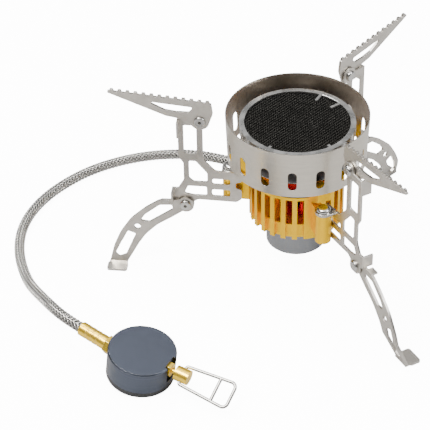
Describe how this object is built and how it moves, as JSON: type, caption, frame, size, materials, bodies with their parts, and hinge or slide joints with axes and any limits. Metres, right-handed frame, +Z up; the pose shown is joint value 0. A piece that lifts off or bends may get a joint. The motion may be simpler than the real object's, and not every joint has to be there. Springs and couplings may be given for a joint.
{
  "type": "camping stove",
  "caption": "Folding gas camping stove: round burner in a slotted windshield, finned body, folding arms with legs and toothed pot supports, braided hose and a canister coupler.",
  "frame": {"origin": "the point on the ground under the burner axis", "axes": "+Z up along the burner axis; +X towards the arm that is at the front right, with the coupler and hose on the -X side"},
  "size_m": [0.2377, 0.2395, 0.1216],
  "materials": {
    "gold_anodised": "satin gold anodised",
    "grey_anodised": "satin grey anodised, turned",
    "red_anodised": "gloss red anodised",
    "coupler_anodised": "satin blue-grey anodised",
    "stainless_sheet": "brushed stainless sheet",
    "stamped_stainless": "tumbled stamped stainless",
    "burner_steel": "spun stainless",
    "mesh_steel": "dark oxidised wire mesh",
    "rivet_steel": "polished steel",
    "wire_steel": "bright stainless wire",
    "brass": "machined brass",
    "braided_hose": "rubber hose under a stainless wire braid",
    "black_rubber": "matt black rubber"
  },
  "bodies": {
    "stove": {"finned_body": "gold_anodised", "base_cup": "grey_anodised", "jet_holder": "brass", "base_nut": "brass", "gas_jet": "brass", "mixing_tube": "red_anodised", "windshield": "stainless_sheet", "shield_rivets": "rivet_steel", "burner_bowl": "burner_steel", "burner_ring": "burner_steel", "burner_mesh": "mesh_steel", "swing_rivets": "rivet_steel", "swing_washers": "rivet_steel", "gas_hose": "braided_hose", "inlet_ferrule": "brass", "hose_inlet": "brass", "coupler_ferrule": "brass", "hose_nut": "brass", "coupler_body": "coupler_anodised", "coupler_seal": "black_rubber", "canister_insert": "brass", "canister_seal": "black_rubber", "valve_gland": "brass"},
    "arm_1": {"swing_bracket_1": "stamped_stainless", "support_rivet_1": "rivet_steel", "leg_rivet_1": "rivet_steel"},
    "support_1": {"pot_support_1": "stamped_stainless"},
    "leg_body_1": {"leg_1": "stamped_stainless"},
    "arm_2": {"swing_bracket_2": "stamped_stainless", "support_rivet_2": "rivet_steel", "leg_rivet_2": "rivet_steel"},
    "support_2": {"pot_support_2": "stamped_stainless"},
    "leg_body_2": {"leg_2": "stamped_stainless"},
    "arm_3": {"swing_bracket_3": "stamped_stainless", "support_rivet_3": "rivet_steel", "leg_rivet_3": "rivet_steel"},
    "support_3": {"pot_support_3": "stamped_stainless"},
    "leg_body_3": {"leg_3": "stamped_stainless"},
    "valve": {"valve_spindle": "brass"},
    "handle": {"valve_handle": "wire_steel"}
  },
  "joints": [
    {"name": "arm_swing_1", "type": "hinge", "parent": "stove", "child": "arm_1", "pos_m": [0.01317, -0.03618, 0.0552], "axis": [0, 0, 1], "range_deg": [-90, 0]},
    {"name": "support_fold_1", "type": "hinge", "parent": "arm_1", "child": "support_1", "pos_m": [0.02705, -0.04707, 0.1026], "axis": [-0.8788, -0.4772, 0], "range_deg": [0, 40]},
    {"name": "leg_fold_1", "type": "hinge", "parent": "arm_1", "child": "leg_body_1", "pos_m": [0.03163, -0.05551, 0.0429], "axis": [0.8788, 0.4772, 0], "range_deg": [0, 95]},
    {"name": "arm_swing_2", "type": "hinge", "parent": "stove", "child": "arm_2", "pos_m": [0.02475, 0.02949, 0.0552], "axis": [0, 0, 1], "range_deg": [-90, 0]},
    {"name": "support_fold_2", "type": "hinge", "parent": "arm_2", "child": "support_2", "pos_m": [0.03131, 0.04587, 0.1026], "axis": [0.7046, -0.7096, 0], "range_deg": [0, 40]},
    {"name": "leg_fold_2", "type": "hinge", "parent": "arm_2", "child": "leg_body_2", "pos_m": [0.03812, 0.05264, 0.0429], "axis": [-0.7046, 0.7096, 0], "range_deg": [0, 95]},
    {"name": "arm_swing_3", "type": "hinge", "parent": "stove", "child": "arm_3", "pos_m": [-0.03791, 0.00668, 0.0552], "axis": [0, 0, 1], "range_deg": [-90, 0]},
    {"name": "support_fold_3", "type": "hinge", "parent": "arm_3", "child": "support_3", "pos_m": [-0.05488, 0.00183, 0.1026], "axis": [0.1288, 0.9917, 0], "range_deg": [0, 40]},
    {"name": "leg_fold_3", "type": "hinge", "parent": "arm_3", "child": "leg_body_3", "pos_m": [-0.0644, 0.00307, 0.0429], "axis": [-0.1288, -0.9917, 0], "range_deg": [0, 95]},
    {"name": "valve_turn", "type": "hinge", "parent": "stove", "child": "valve", "pos_m": [-0.0669, -0.10893, 0.01124], "axis": [0.8765, -0.4605, -0.1402], "range_deg": [0, 720]},
    {"name": "handle_fold", "type": "hinge", "parent": "valve", "child": "handle", "pos_m": [-0.0669, -0.10893, 0.01124], "axis": [-0.4621, -0.7236, -0.5127], "range_deg": [-90, 80]}
  ]
}
